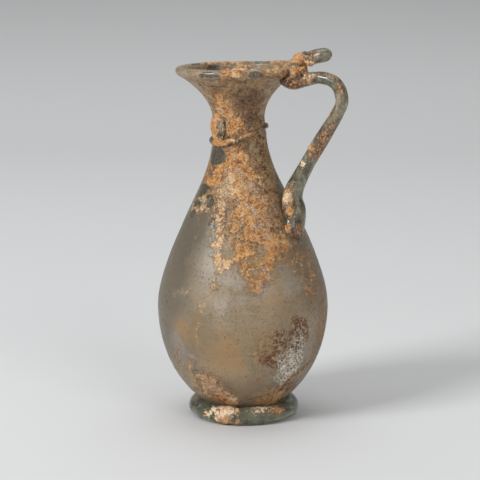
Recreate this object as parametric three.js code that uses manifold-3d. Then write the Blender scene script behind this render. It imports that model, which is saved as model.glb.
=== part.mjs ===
// A small blown-glass ewer: a pear-shaped body with a funnel mouth, a coiled foot ring, a thread of glass
// laid once round the neck, and a rod handle that is drawn up from the shoulder, arches over to the
// rim and folds back into a thumb rest. Millimetres, +Z up. The handle is on the +X side.
import * as THREE from "three";
import { mergeVertices } from "three/addons/utils/BufferGeometryUtils.js";
import Module from "manifold-3d";

const wasm = await Module();
wasm.setup();
const { degToRad, lerp, mapLinear, smoothstep } = THREE.MathUtils;

// Body: heights above the table and radii of the outer wall
const baseHeight = 3.0;
const baseRadius = 13.2;
const baseKick = 0.6;
const bellyHeight = 55.4;
const bellyRadius = 41.9;
const shoulderHeight = 111.4;
const shoulderRadius = 21.6;
const neckHeight = 147.4;
const neckRadius = 12.6;
const lipHeight = 170.0;
const lipRadius = 27.3;
const lipBead = 2.2;
const beadClear = 0.6;

// Body: slopes of the wall above the horizontal, and how far each curve holds its direction
const baseSlope = degToRad(28.9);
const shoulderSlope = degToRad(63.9);
const mouthSlope = degToRad(28.8);
const baseHold = 28.2;
const bellyHoldBelow = 13.3;
const bellyHoldAbove = 17.3;
const shoulderHoldBelow = 9.7;
const shoulderHoldAbove = 15.0;
const neckHoldBelow = 14.6;
const neckHoldAbove = 9.0;
const mouthHold = 7.3;

// Wall of the blown body, the share of the belly's height where it has thinned, and the wrap of the bead
const wallAtBase = 3.4;
const wallAtBelly = 1.9;
const wallAtNeck = 2.3;
const thinFrom = 0.6;
const beadWrap = degToRad(198);

// From the shoulder up the neck leans away from the handle, and the rim is pulled up beside the handle
const neckLean = 3.5;
const leanStart = 88.9;
const leanPower = 1.3;
const rimPull = 1.4;
const rimPullAngle = degToRad(52);
const rimPullPower = 4;

// Applied glass stops this far from the body's outer wall
const joint = 0.3;

// Foot ring
const footRadius = 27.3;
const footCoil = 4.15;
const footHole = 17.4;
const footOffset = 0.5;
const restWidth = 4.5;
const restEdge = 0.4;
const coilFrom = degToRad(-79);

// Thread round the neck: a tilted ring that sags and thickens in front, under the drop it was drawn from
const threadBelowNeck = 6.9;
const threadTilt = 3.0;
const threadHighSide = degToRad(30);
const threadFront = degToRad(-90);
const threadFrontPower = 4;
const threadSag = 2.6;
const threadThick = 1.5;
const threadThin = 0.75;
const threadSunk = 0.35;
const dropAngle = degToRad(-113);
const dropRise = 7.6;
const dropProud = 2.5;
const dropWidth = 10.2;
const dropLength = 14.4;

// Handle: heights of the claw on the shoulder, and its sections as half sizes out from and along the wall
const clawBottom = 90.6;
const clawTop = 112.0;
const clawSkew = 3.0;
const clawTipSection = { out: 0.2, thick: 3.0, wide: 0.7 };
const clawHeelSection = { share: 0.23, out: 0.4, thick: 4.6, wide: 5.8 };
const clawBodySection = { share: 0.6, out: 2.9, thick: 5.2, wide: 7.2 };
const clawTopSection = { out: 6.6, thick: 4.6, wide: 5.8 };

// Handle: half sizes of the rod and of its arch, and how the rod bows between the claw and the arch
const rodThick = 3.6;
const rodWide = 3.8;
const archThick = 3.0;
const archWide = 3.5;
const rodBow = { rise: 0.325, reach: 0.28 };

// Handle: where the arch runs, measured out from the rim's edge and down from the rim's middle
const elbowStart = { out: 25.3, drop: 16.2 };
const elbow = { out: 26.4, drop: 10.2 };
const archShoulder = { out: 23.1, drop: 3.9 };
const archTop = { out: 15.2, drop: 1.6 };
const archDip = { out: 7.0, drop: 3.4 };
const rimGrip = { out: 0.9, drop: 4.2, thick: 3.7, wide: 6.2 };
const rimGripEnd = { out: -4.2, drop: 3.4, thick: 2.4, wide: 4.4 };

// Handle: the thumb rest, measured the same way
const thumbRoot = { out: 1.7, drop: 3.4, thick: 3.0, wide: 5.0 };
const thumbRiser = { out: 3.0, drop: -0.8, thick: 3.1, wide: 4.8 };
const thumbFold = { out: 3.6, drop: -4.6, thick: 2.9, wide: 4.6 };
const thumbNeck = { out: 8.2, drop: -7.0, thick: 2.9, wide: 4.2 };
const thumbPad = { out: 14.4, drop: -8.6, thick: 3.4, wide: 4.8 };
const thumbEnd = { out: 18.0, drop: -9.3, thick: 2.6, wide: 3.8 };
const thumbTip = { out: 19.6, drop: -9.6, thick: 0.5, wide: 1.0 };

// How finely the curves are divided
const roundSteps = 40;
const baseSteps = 3;
const lowerSteps = 9;
const upperSteps = 7;
const neckSteps = 6;
const mouthSteps = 6;
const beadSteps = 7;
const coilSteps = 9;
const rodSides = 12;
const rodSteps = 44;
const thumbSteps = 18;
const threadSides = 8;
const dropSteps = { round: 14, up: 10 };

// Colours of the weathered glass
const glassOlive = 0x7d7462;
const glassGreen = 0x5e6b5c;
const crustOchre = 0xb58452;

const point = (radius, height) => new THREE.Vector2(radius, height);
const direction = (angle, length) => point(Math.cos(angle), Math.sin(angle)).multiplyScalar(length);

// Points after the start of a curve that leaves along one vector and arrives at its end along another
function curveBetween(start, leave, arrive, end, steps) {
  const curve = new THREE.CubicBezierCurve(start, start.clone().add(leave), end.clone().sub(arrive), end);
  return curve.getPoints(steps).slice(1);
}

// Points on an arc from one angle to another
function arc(centre, radius, from, to, steps) {
  return Array.from({ length: steps + 1 }, (_, i) =>
    centre.clone().add(direction(lerp(from, to, i / steps), radius)),
  );
}

const lipCentre = point(lipRadius, lipHeight);
const underLip = mouthSlope - Math.PI / 2;

// The outer wall from the middle of the base, which is pushed in, to the underside of the lip's bead
function outerWall() {
  const centre = point(0, baseHeight + baseKick);
  const base = point(baseRadius, baseHeight);
  const belly = point(bellyRadius, bellyHeight);
  const shoulder = point(shoulderRadius, shoulderHeight);
  const neck = point(neckRadius, neckHeight);
  const lip = lipCentre.clone().add(direction(underLip, lipBead));
  const kickHold = baseRadius / 2;
  const uphill = (length) => direction(Math.PI - shoulderSlope, length);
  return [
    centre,
    ...curveBetween(centre, point(kickHold, 0), direction(baseSlope, kickHold / 2), base, baseSteps),
    ...curveBetween(base, direction(baseSlope, baseHold), point(0, bellyHoldBelow), belly, lowerSteps),
    ...curveBetween(belly, point(0, bellyHoldAbove), uphill(shoulderHoldBelow), shoulder, upperSteps),
    ...curveBetween(shoulder, uphill(shoulderHoldAbove), point(0, neckHoldBelow), neck, neckSteps),
    ...curveBetween(neck, point(0, neckHoldAbove), direction(mouthSlope, mouthHold), lip, mouthSteps),
  ];
}

// Thickness of the blown wall at a height: thick in the base, thinnest where the bubble swells most
function wallAt(height) {
  if (height < bellyHeight) {
    return lerp(wallAtBase, wallAtBelly, smoothstep(height, baseHeight, bellyHeight * thinFrom));
  }
  return lerp(wallAtBelly, wallAtNeck, smoothstep(height, bellyHeight, neckHeight));
}

// A line of (radius, height) points that starts on the axis, moved inwards by a distance at each height
function moved(line, distanceAt) {
  return line.map((here, i) => {
    const before = line[Math.max(i - 1, 0)];
    const after = line[Math.min(i + 1, line.length - 1)];
    const along = after.clone().sub(before).normalize();
    const distance = distanceAt(here.y);
    const radius = i === 0 ? 0 : Math.max(here.x - along.y * distance, 0);
    return point(radius, here.y + along.x * distance);
  });
}

const wall = outerWall();

// Radius of the outer wall at a height above the base
function wallRadius(height) {
  const above = wall.findIndex((p, i) => i > baseSteps && p.y >= height);
  const low = wall[above - 1];
  const high = wall[above];
  return mapLinear(height, low.y, high.y, low.x, high.x);
}

// How far the neck has leaned towards -X at a height
function leanAt(height) {
  const share = Math.max(height - leanStart, 0) / (lipHeight - leanStart);
  return -neckLean * share ** leanPower;
}

// How far the mouth is pulled up at a place
function pullAt(x, y, height) {
  const beside = (x * Math.cos(rimPullAngle) + y * Math.sin(rimPullAngle)) / lipRadius;
  return rimPull * Math.max(beside, 0) ** rimPullPower * smoothstep(height, neckHeight, lipHeight);
}

// A closed profile of (radius, height) points turned about +Z, then bent as the body is
function turned(profile) {
  const geometry = new THREE.LatheGeometry(profile, roundSteps).rotateX(Math.PI / 2);
  const places = geometry.attributes.position;
  for (let i = 0; i < places.count; i++) {
    const x = places.getX(i);
    const y = places.getY(i);
    const z = places.getZ(i);
    places.setXYZ(i, x + leanAt(z), y, z + pullAt(x, y, z));
  }
  return geometry;
}

// A geometry as a closed solid with its faces pointing out
function solid(geometry) {
  const bare = geometry.clone();
  bare.deleteAttribute("normal");
  bare.deleteAttribute("uv");
  const merged = mergeVertices(bare, 1e-4);
  const vertProperties = merged.attributes.position.array;
  const make = (triVerts) => new wasm.Manifold(new wasm.Mesh({ numProp: 3, vertProperties, triVerts }));
  const triangles = new Uint32Array(merged.index.array);
  const made = make(triangles);
  return made.volume() > 0 ? made : make(triangles.reverse());
}

// A solid as a named mesh
function piece(name, shape, colour, roughness) {
  const { vertProperties, triVerts } = shape.getMesh();
  const geometry = new THREE.BufferGeometry();
  geometry.setAttribute("position", new THREE.BufferAttribute(new Float32Array(vertProperties), 3));
  geometry.setIndex(new THREE.BufferAttribute(new Uint32Array(triVerts), 1));
  geometry.computeVertexNormals();
  const material = new THREE.MeshStandardMaterial({ color: colour, roughness, metalness: 0 });
  const mesh = new THREE.Mesh(geometry, material);
  mesh.name = name;
  return mesh;
}

// The blown body: outer wall, rounded lip bead and inner wall, open at the mouth
function blownBody() {
  const bead = arc(lipCentre, lipBead, underLip, beadWrap, beadSteps);
  const beadEnd = bead[bead.length - 1];
  const inner = moved(wall, wallAt).filter((p) => p.y < beadEnd.y - beadClear);
  return solid(turned([...wall, ...bead.slice(1), ...inner.reverse()]));
}

// The room that the body takes, its hollow filled and the joint added: applied glass is cut back to it
function bodyRoom() {
  const outside = moved(wall, () => -joint).slice(0, -1);
  const bead = arc(lipCentre, lipBead + joint, underLip, Math.PI / 2, beadSteps);
  return solid(turned([...outside, ...bead, point(0, lipHeight + lipBead + joint)]));
}

// The foot: a coil of glass laid round the base, flat where it stands
function footRing() {
  const coil = point(footRadius - footCoil, footCoil);
  const restOuter = coil.x - restEdge;
  const inside = point(footHole, footCoil);
  const profile = [
    inside,
    point(restOuter - restWidth, 0),
    point(restOuter, 0),
    ...arc(coil, footCoil, coilFrom, Math.PI / 2, coilSteps),
    point(footHole, coil.y + footCoil),
    inside,
  ];
  const ring = new THREE.LatheGeometry(profile, roundSteps);
  return solid(ring.rotateX(Math.PI / 2).translate(footOffset, 0, 0));
}

// A geometry made on an upright neck of even radius, moved to follow the wall and lean of the real one
function onNeck(geometry) {
  const places = geometry.attributes.position;
  for (let i = 0; i < places.count; i++) {
    const x = places.getX(i);
    const y = places.getY(i);
    const z = places.getZ(i);
    const out = (wallRadius(z) - neckRadius) / Math.hypot(x, y);
    places.setXYZ(i, x * (1 + out) + leanAt(z), y * (1 + out), z);
  }
  return geometry;
}

// The thread: a ring round the neck, and the drop above it
function neckThread() {
  const atFront = (angle) => ((1 + Math.cos(angle - threadFront)) / 2) ** threadFrontPower;
  const middle = neckHeight - threadBelowNeck;
  const sagAt = (angle) => threadSag * atFront(angle);
  const heightAt = (angle) => middle + threadTilt * Math.cos(angle - threadHighSide) - sagAt(angle);
  const ring = new THREE.TorusGeometry(2, 1, threadSides, roundSteps);
  const places = ring.attributes.position;
  for (let i = 0; i < places.count; i++) {
    const angle = Math.atan2(places.getY(i), places.getX(i));
    const outward = Math.hypot(places.getX(i), places.getY(i)) - 2;
    const half = lerp(threadThin, threadThick, atFront(angle));
    const radius = neckRadius - threadSunk + half * (1 + outward);
    const height = heightAt(angle) + half * places.getZ(i);
    places.setXYZ(i, radius * Math.cos(angle), radius * Math.sin(angle), height);
  }
  const drop = new THREE.SphereGeometry(1, dropSteps.round, dropSteps.up)
    .rotateX(Math.PI / 2)
    .scale(dropProud, dropWidth / 2, dropLength / 2)
    .translate(neckRadius, 0, heightAt(dropAngle) + dropRise)
    .rotateZ(dropAngle);
  return solid(onNeck(ring)).add(solid(onNeck(drop)));
}

// A rod of changing oval section through stops, each with its place and its half sizes
function rod(stops, steps) {
  const line = new THREE.CatmullRomCurve3(stops.map((s) => new THREE.Vector3(s.x, s.y ?? 0, s.z)));
  const section = new THREE.CatmullRomCurve3(stops.map((s) => new THREE.Vector3(s.thick, s.wide, 0)));
  const beside = new THREE.Vector3(0, 1, 0);
  const geometry = new THREE.CylinderGeometry(1, 1, 1, rodSides, steps);
  const places = geometry.attributes.position;
  for (let i = 0; i < places.count; i++) {
    const share = places.getY(i) + 0.5;
    const across = new THREE.Vector3().crossVectors(line.getTangent(share), beside).normalize();
    const half = section.getPoint(share);
    const place = line
      .getPoint(share)
      .addScaledVector(across, places.getX(i) * half.x)
      .addScaledVector(beside, places.getZ(i) * half.y);
    places.setXYZ(i, place.x, place.y, place.z);
  }
  return solid(geometry);
}

// The handle: a claw on the shoulder, the rod, its grip under the rim, and the thumb rest folded back
function handle() {
  const rimEdge = lipRadius + lipBead + leanAt(lipHeight);
  const shoulderAt = (z) => wallRadius(z) + leanAt(z);
  const onShoulder = (z, section, y = 0) => ({ ...section, x: shoulderAt(z) + section.out, y, z });
  const byRim = (stop) => ({ ...stop, x: rimEdge + stop.out, z: lipHeight - stop.drop });
  const onArch = (stop) => ({ ...byRim(stop), thick: archThick, wide: archWide });
  const clawHeight = (share) => lerp(clawBottom, clawTop, share);
  const top = onShoulder(clawTop, clawTopSection);
  const high = onArch(elbowStart);
  const onRod = (reach, rise) => ({
    x: lerp(top.x, high.x, reach),
    z: lerp(top.z, high.z, rise),
    thick: rodThick,
    wide: rodWide,
  });
  const grip = rod(
    [
      onShoulder(clawBottom, clawTipSection, -clawSkew),
      onShoulder(clawHeight(clawHeelSection.share), clawHeelSection, -clawSkew / 2),
      onShoulder(clawHeight(clawBodySection.share), clawBodySection),
      top,
      onRod(rodBow.reach, rodBow.rise),
      onRod((1 + rodBow.reach) / 2, (1 + rodBow.rise) / 2),
      high,
      ...[elbow, archShoulder, archTop, archDip].map(onArch),
      byRim(rimGrip),
      byRim(rimGripEnd),
    ],
    rodSteps,
  );
  const thumb = [thumbRoot, thumbRiser, thumbFold, thumbNeck, thumbPad, thumbEnd, thumbTip].map(byRim);
  return grip.add(rod(thumb, thumbSteps));
}

const room = bodyRoom();
const ewer = new THREE.Group();
ewer.add(
  piece("blown_body", blownBody(), glassOlive, 0.45),
  piece("foot_ring", footRing().subtract(room), glassGreen, 0.3),
  piece("neck_thread", neckThread().subtract(room), crustOchre, 0.6),
  piece("handle", handle().subtract(room), glassGreen, 0.4),
);

// The origin is under the middle of the whole outline, on the table
const extent = new THREE.Box3().setFromObject(ewer);
const centre = extent.getCenter(new THREE.Vector3());
ewer.position.set(-centre.x, -centre.y, -extent.min.z);

export default ewer;
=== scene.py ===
"""Looks for a small weathered glass ewer: frosted olive glass, ochre crust, pitting and a glossy green foot.

Lengths in this file are millimetres unless a comment or a property says otherwise. Places on the body are
given as degrees round its axis from the side that faces front, and a height above the table.
"""
import math

import bmesh
import bpy
import numpy as np
from mathutils import Matrix, Vector, noise
from mathutils.geometry import interpolate_bezier


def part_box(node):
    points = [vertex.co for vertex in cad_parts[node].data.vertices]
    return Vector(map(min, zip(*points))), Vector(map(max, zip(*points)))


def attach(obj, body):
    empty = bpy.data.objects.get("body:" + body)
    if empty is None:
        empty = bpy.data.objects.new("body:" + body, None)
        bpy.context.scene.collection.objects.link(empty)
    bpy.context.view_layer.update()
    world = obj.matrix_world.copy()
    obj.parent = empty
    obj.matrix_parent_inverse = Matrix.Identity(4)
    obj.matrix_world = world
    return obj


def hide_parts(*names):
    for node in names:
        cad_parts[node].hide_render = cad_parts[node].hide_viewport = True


bl_info = {
    "name": "Weathered Glass Ewer",
    "version": (1, 0, 0),
    "blender": (4, 5, 0),
    "location": "View3D > Sidebar > Ewer",
    "description": "Builds the blown body, foot ring, neck thread and handle of a weathered glass ewer",
    "category": "Add Mesh",
}

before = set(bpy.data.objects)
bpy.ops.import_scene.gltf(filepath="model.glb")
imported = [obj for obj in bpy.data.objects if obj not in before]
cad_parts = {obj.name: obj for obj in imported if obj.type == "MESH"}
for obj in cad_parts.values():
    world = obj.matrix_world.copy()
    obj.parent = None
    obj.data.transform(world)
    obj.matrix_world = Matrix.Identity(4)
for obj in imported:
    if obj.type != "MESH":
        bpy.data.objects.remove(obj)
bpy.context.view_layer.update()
FOOT_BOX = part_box("foot_ring")
MM = 0.001

# The vessel's axis stands this far from the middle of its foot ring, and its front faces this way
FOOT_OFFSET = 0.5
AXIS_X = (FOOT_BOX[0][0] + FOOT_BOX[1][0]) / 2 / MM - FOOT_OFFSET
FRONT = -62.0

# Outer wall: (radius, height) of its stations, its slopes in degrees there, and the glass's thickness
BASE = Vector((13.2, 3.0))
BELLY = Vector((41.9, 55.4))
SHOULDER = Vector((21.6, 111.4))
NECK = Vector((12.6, 147.4))
LIP = Vector((27.3, 170.0))
LIP_BEAD = 2.2
BASE_KICK = 0.6
BASE_ANGLE = 28.9
SHOULDER_ANGLE = 116.1
MOUTH_ANGLE = 28.8
BASE_THICK = 3.4
BELLY_THICK = 1.9
NECK_THICK = 2.3
NECK_LEAN = 3.5
LEAN_START = 88.9
RIM_PULL = 1.4
RIM_PULL_ANGLE = math.radians(52)

# Patches on the body: degrees from the front, height, half sizes, then a turn and a depth cap where given
CRUST = [
    (-34, 157, 4.1, 4.1), (-39, 151, 5, 4), (-20, 145, 4.6, 5.7), (-19, 155, 2.5, 4), (-4, 146, 2.2, 5.3),
    (-12, 150, 3, 4.4), (-16, 132, 3.5, 4.2), (-2, 129, 4.4, 5.6), (-17, 125, 6.6, 4.2),
    (-40, 124, 5.7, 3.2, 20), (-46, 119, 6.3, 3.6, 10), (3, 121, 6.8, 6.2), (-10, 116, 3.9, 4.4),
    (5, 113, 7.3, 6.4), (-58, 116, 3.6, 3.4), (14, 108, 8, 6.4), (1, 105, 5.8, 3.5), (-7, 102, 2.9, 3.2),
    (-9, 98, 2.9, 3.1), (16, 101, 9, 5.3), (7, 94, 7.8, 3.9), (0, 88, 5.3, 4.3), (18, 95, 6.1, 3.9),
    (26, 90, 5.9, 6.1), (20, 83, 3.6, 5.4), (-24, 105, 2.6, 4), (-23, 100, 2.1, 5.3), (-21, 92, 2.6, 5.4),
    (-19, 85, 2.5, 5.2), (-13, 82, 4, 3.1, 30), (-6, 85, 2.9, 3.6), (2, 82, 2.4, 3.6), (5, 77, 1.9, 4.5),
    (14, 77, 2.5, 4.5), (8, 72, 3.4, 2.8), (18, 75, 2, 1.8), (-21, 72, 1.2, 1.6), (-54, 110, 3.7, 2.2, 30),
    (-63, 105, 6.3, 1.5), (-45, 106, 3.4, 1.3), (39, 90, 4.4, 3.9), (-42, 31, 2.3, 3.4, -30),
    (-34, 25, 2.9, 4.8, -40), (-27, 21, 4.3, 4.3, -35), (-20, 16, 5.2, 4.8, -25), (-11, 13, 4.4, 2.8, -15),
    (-35, 18, 2.9, 4.8, -40), (-30, 22, 3.4, 6.5, -42), (-23, 17.5, 3.2, 6, -38), (38, 16, 3.1, 6.3, 30),
    (40, 9, 5.1, 2.8), (150, 128, 7, 9), (170, 110, 9, 12, 15), (-164, 97, 3.5, 8, 20), (-152, 90, 3, 4),
    (120, 140, 5, 8), (140, 16, 7, 3),
]
THIN_CRUST = [
    (-28, 152, 5, 8), (-6, 138, 6, 9), (16, 120, 10, 12), (28, 104, 12, 15, 10), (30, 88, 12, 10),
    (-40, 112, 12, 9, 20), (-22, 104, 5, 12), (12, 82, 12, 7), (48, 82, 10, 11, -15), (-28, 20, 9, 7, -35),
    (34, 14, 10, 6, 20), (57, 72, 9, 14, -15), (170, 120, 16, 26), (-150, 100, 12, 16), (130, 140, 10, 14),
    (-110, 150, 8, 12), (160, 25, 14, 8), (-57, 33, 4, 7, -20), (-10, 118, 14, 16), (70, 50, 8, 20),
    (-60, 118, 8, 10, 20), (30, 153, 4, 4),
]
GAPS = [
    (0, 152, 1.4, 1.5), (22, 147, 1.6, 3.4), (-7, 109, 1.5, 1.5), (-21, 114, 2.1, 1.8),
    (-21, 110, 2.6, 1.8), (-14, 101, 1.7, 3.5), (-15, 93, 2, 2.2), (-13, 89, 2.7, 3.6), (14, 88, 2.5, 2.7),
    (-4, 95, 1.5, 1.8), (10, 78, 1.2, 2.7), (6, 84, 2.4, 1.3), (-37, 114, 1.8, 1.8), (-15, 96, 1.6, 5.5),
    (-12, 88, 3, 3.2), (1, 92, 1.7, 1.3), (-10, 93, 2.4, 1.3), (14, 133, 2.5, 2.8, 20),
    (22, 129, 1.6, 2.8, 10),
]
CREAM = [
    (28, 106, 13, 16, 10, -0.7), (50, 76, 9, 14, -15, -0.7), (-40, 20, 7, 7, -30, -0.6),
    (-22, 115, 4.2, 3.5), (-24, 99, 2.6, 6.1), (-21, 90, 3.1, 6.3), (-16, 81, 4.5, 3.6),
    (-21, 72, 1.6, 1.8), (-29, 61, 3.4, 2.6, 0, 0.2), (-45, 68, 5.4, 2.6, 20, 0.2), (-65, 105, 10.2, 1.6),
    (-47, 106, 4.3, 1.7), (-13, 104, 2, 2.6), (-15, 119, 3, 2.7), (-55, 109, 3.4, 2.5),
    (-24, 108, 3.2, 3.5), (-11, 13, 3.4, 2.1),
]
BARE = [
    (-52, 130, 6.7, 4.2), (-66, 113, 5.4, 3.3, 20), (-44, 109, 4, 2.7), (-62, 107, 4.1, 1.7),
    (-67, 102, 3.8, 2.4, 20), (-31, 100, 1.7, 3.5),
]
# Painted glow: warm, lighter patches over the belly that stand for light shining through the glass
PAINTED_GLOW = [
    (20, 40, 8, 8), (2, 28, 26, 9, 0, -1.5), (4, 60, 24, 20, 0, -3.2), (-12, 42, 16.8, 11.1),
    (13, 44, 8.9, 11.1), (28, 57, 5.4, 5.6), (25, 74, 3.2, 3.1), (-38, 46, 7.5, 8.8), (-25, 48, 4.7, 6.1),
    (-30, 54, 2.8, 1.9), (17, 40, 4.6, 5.3), (7, 83, 10.7, 6.9), (31, 88, 7.9, 6.1), (24, 65, 9.5, 4.6),
    (160, 60, 20, 18),
]
LILAC = [(-11, 78, 5, 6), (-5, 74, 4.6, 4.2), (-14, 101, 1.7, 3.2), (-15, 93, 1.8, 2.2), (14, 88, 2.2, 2.4)]
HAZE = [
    (-28, 20, 9, 8, -35), (-38, 26, 6, 6, -35), (-43, 33, 5, 8, -30), (-36, 28, 4, 6, -35),
    (50, 22, 8, 12, 20), (-10, 77, 5.9, 6.2), (-10, 67, 2.9, 1.8), (-13, 63, 5.9, 6.5), (-2, 66, 4.8, 3.7),
    (13, 70, 6, 3.6), (32, 79, 4.5, 3.5), (38, 71, 7.4, 7.2), (-48, 65, 5.7, 3.6, 0, 1),
    (-29, 29, 2.2, 1.7, 30), (-53, 40, 6.5, 11.1, -15), (-46, 84, 10.5, 8, 0, -1.2),
    (44, 36, 6.8, 13.3, 10), (-17, 110, 3, 9.7), (12, 115, 4.9, 4.6), (25, 100, 3.7, 3.5),
    (30, 133, 3.3, 4.7), (-2, 120, 2.9, 2.7), (60, 22, 8, 8), (-140, 70, 14, 16), (110, 60, 12, 20),
]
PLUM = [
    (20, 157, 9, 6), (22, 150, 5, 6), (14, 155, 3, 3.1), (14, 116, 3.5, 2.7, 0, -0.5),
    (29, 110, 2.8, 4.4, 0, -0.5), (46, 18, 6, 9, 30, -0.2), (52, 26, 4, 8, 30, -0.2),
    (-22, 19, 4, 3, -30, -0.6), (46, 81, 4.9, 3.1, 0, -0.6), (54, 72, 4.1, 3.5, 0, -0.3),
    (72, 82, 11, 5.3, -20, -0.8), (67, 65, 6.2, 7.9, 0, -0.8), (55, 86, 8.4, 4.2, 0, -0.8),
    (67, 51, 3.7, 10.3, 0, -0.8), (56, 62, 5.2, 6.6, 0, -1.2), (47, 92, 5, 2.6, 0, -0.8),
    (-65, 61, 4.6, 5.5, 0, -1), (-69, 45, 4, 5.6, 0, -1), (130, 84, 14, 12, 0, -0.8),
]
PITS = [
    (41, 48, 6, 8.5, 20), (25, 47, 3.2, 4), (21, 35.5, 6.2, 3.6, -20), (27, 40, 5, 5), (37, 42, 4.7, 4.2),
    (20, 41, 6.5, 6.5, 0, -0.35),
]
LACE = [(37, 34, 8.5, 9.5, 20), (42, 41, 5, 6.4), (33, 25, 5, 4.6)]
RUST = [(10, 26, 2, 1.8), (-22, 13, 5.3, 2.2, -20)]
# Painted shade: broad dark patches over the body's left and right edges, its base and its back, darkening the
# glass in place of shade
PAINTED_SHADE = [
    (-74, 62, 26, 46), (-60, 95, 20, 22, 10), (92, 55, 13, 46), (5, 10, 60, 7), (-52, 78, 16, 26, 0, -2),
    (65, 100, 8, 20), (-34, 50, 5, 8, 0, 1), (180, 60, 50, 50), (2, 16, 22, 6),
]
MOUTH_DARK = [(-153, 166, 5, 7), (-40, 168, 12, 3)]
MOUTH_PALE = [(-170, 166, 6, 7)]
MOUTH_RED = [(-133, 166, 6, 8), (150, 160, 12, 4), (110, 166, 6, 4)]
FILM = [
    (0, 140, 40, 24), (15, 162, 60, 10), (0, 118, 24, 16), (10, 98, 22, 12), (20, 41, 7.5, 9, -20, 1.2),
    (180, 140, 60, 30), (150, 40, 24, 20, 0, -2), (-35, 20, 12, 10), (40, 15, 14, 8),
]
LIP_GAPS = [
    (-26, 169, 6, 2.6), (-70, 170, 17, 6, 0, 0.05), (18, 169.2, 4.4, 2.8), (-130, 171, 3.5, 4),
    (150, 171, 5, 4),
]
LIP_CRUST = [(-4, 171, 5.6, 5), (52, 171, 13, 6), (100, 171, 12, 5), (160, 171, 22, 5), (-150, 171, 12, 5)]
CRACK = [(63, 31.9), (59.5, 29.8), (53.9, 27.7), (48.3, 25.8), (42.7, 24.1), (39.3, 21.3), (36.2, 18.1)]
SCAR = [(-30.2, 55.4), (-30.5, 52.4), (-32.2, 49.8), (-32.2, 47.3), (-31.2, 44.9), (-32.1, 42.3)]

# Patches on the applied glass: x, y, z of the middle, then half width and half height
HANDLE_CRUST = [
    (23, -3, 171.6, 3.4, 3.6), (20.4, -10.4, 96, 4.2, 3.6), (23.6, -9, 92.6, 2.4, 1.8),
    (20.7, -6, 110, 3.4, 5.4), (22.6, -7.5, 105, 2.4, 3.4), (27.4, -3.5, 126.9, 1.7, 2.6),
    (31.6, -3.2, 135.3, 2.1, 5), (24.5, -3, 177.5, 4.8, 3), (30.4, -3, 176.2, 3.6, 1.8),
    (30.8, -3, 167.9, 3.8, 2.6), (42.9, -2, 169.8, 2.2, 1.6), (27, 3, 176, 5, 4), (21.7, -4, 116, 1.6, 2.4),
    (26.5, -3, 173, 3, 2),
]
HANDLE_CREAM = [
    (20.9, -6.5, 110.5, 2.6, 3.4), (27.4, -3.5, 126.9, 2, 2.6), (31, -3, 176.8, 2.4, 1),
    (30.8, -3, 168.9, 3, 1.8),
]
HANDLE_STAIN = [
    (36.5, -2.5, 134.5, 2.8, 8), (22, -4, 165, 6.5, 3.6), (25.6, -5, 95.4, 4, 4.5), (42, -1, 151, 2.6, 8),
    (27.6, -3, 171.5, 3.5, 2.5), (46.5, -3, 164.5, 2, 4.5), (38, -1, 171.6, 6, 1.4),
    (38.6, -2.5, 138.5, 3, 6.5), (34.4, -2, 129.6, 2.6, 4.5), (41.5, -3, 146, 1.8, 6),
    (28, -4.5, 97, 2.4, 4), (31.5, -3.5, 179, 2.6, 1.6),
]
# Lumps of crust on the handle: x, y, z, radius
HANDLE_LUMPS = [
    (24.6, -3, 176.6, 3), (22, -2.6, 174.8, 2.4), (27.6, -2.8, 178.6, 2.2), (30.6, -3.2, 175.6, 1.7),
    (33.4, -3.2, 176.6, 1.5), (30.4, -2.6, 168.2, 3), (27, -3, 171.8, 2.2), (21, -6.2, 109.8, 2.6),
]
FOOT_CRUST = [
    (-2.4, -24, 7, 6.2, 3), (-3, -25.4, 4.6, 4.8, 3.4), (3.8, -26, 2, 2.6, 1.8), (-11.4, -25, 5, 3.4, 2.2),
    (-8, -24.4, 7.2, 3.2, 1.6), (-13.6, -24, 3.6, 2, 1.2), (17.6, -10.6, 6.4, 4.4, 1.9),
    (11.5, -15.5, 7.8, 6, 1.1), (-28, 10, 6, 6, 3),
]
FOOT_CREAM = [(-2.8, -24, 7, 5.6, 2.4), (-9.4, -25, 5.8, 5.4, 3), (12.3, -14.7, 7.8, 6, 1.4)]
FOOT_STAIN = [(2.6, -26.6, 1.6, 3.4, 1.6), (16.6, -11.7, 5.4, 3.4, 1.2), (-26, -12, 7.5, 4, 1.2)]
THREAD_CRUST = [
    (-15, -12.8, 143.6, 5.9, 8), (-12, -16, 137, 6.5, 2.4), (-5, -15, 138.5, 3.6, 2), (1, -12, 141, 5, 1.8),
    (3.2, 5, 143.6, 2, 1.6),
]
# Painted highlight: pale crust lines along the top of the thread, lighter where light falls on it
THREAD_PAINTED_HIGHLIGHT = [(-4, -15.5, 139, 3.4, 0.9), (-12, -16.5, 137.8, 4, 0.9)]
# A stain by the knob, then painted shade: a dark line under the thread's left part
THREAD_STAIN_AND_SHADE = [(4.5, -4, 143.6, 3, 2.4), (-14, -16.5, 135.8, 7, 0.9)]
THREAD_BARE = [(-11.2, -15.2, 143.4, 1.8, 5), (-16.8, -12, 137.4, 1.2, 0.9)]

# Rod's claw: height, distance out from the shoulder's wall, half thickness, half width, y
CLAW = ((90.6, 0.2, 3, 0.7, -3), (95.5, 0.3, 4.6, 6.6, -2.6), (103.4, 2.9, 5.2, 7.2), (112, 6.6, 4.6, 5.8))

# Rod's arch and the thumb rest: distance out from the rim, drop below the lip, half thickness, half width
ARCH = (
    (25.3, 16.2, 3, 3.5), (26.4, 10.2, 3, 3.5), (23.1, 3.9, 3, 3.5), (15.2, 1.6, 3, 3.5), (7, 3.4, 3, 3.5),
    (0.9, 4.2, 3.7, 6.2), (-4.2, 3.4, 2.4, 4.4),
)
THUMB_REST = (
    (1.7, 3.4, 3, 5), (3, -0.8, 3.1, 4.8), (3.6, -4.6, 2.9, 4.6), (8.2, -7, 2.9, 4.2), (14.6, -8.6, 3.5, 4.9),
    (18.4, -9.3, 3.2, 4.2), (20.6, -9.7, 1.4, 2),
)

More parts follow.
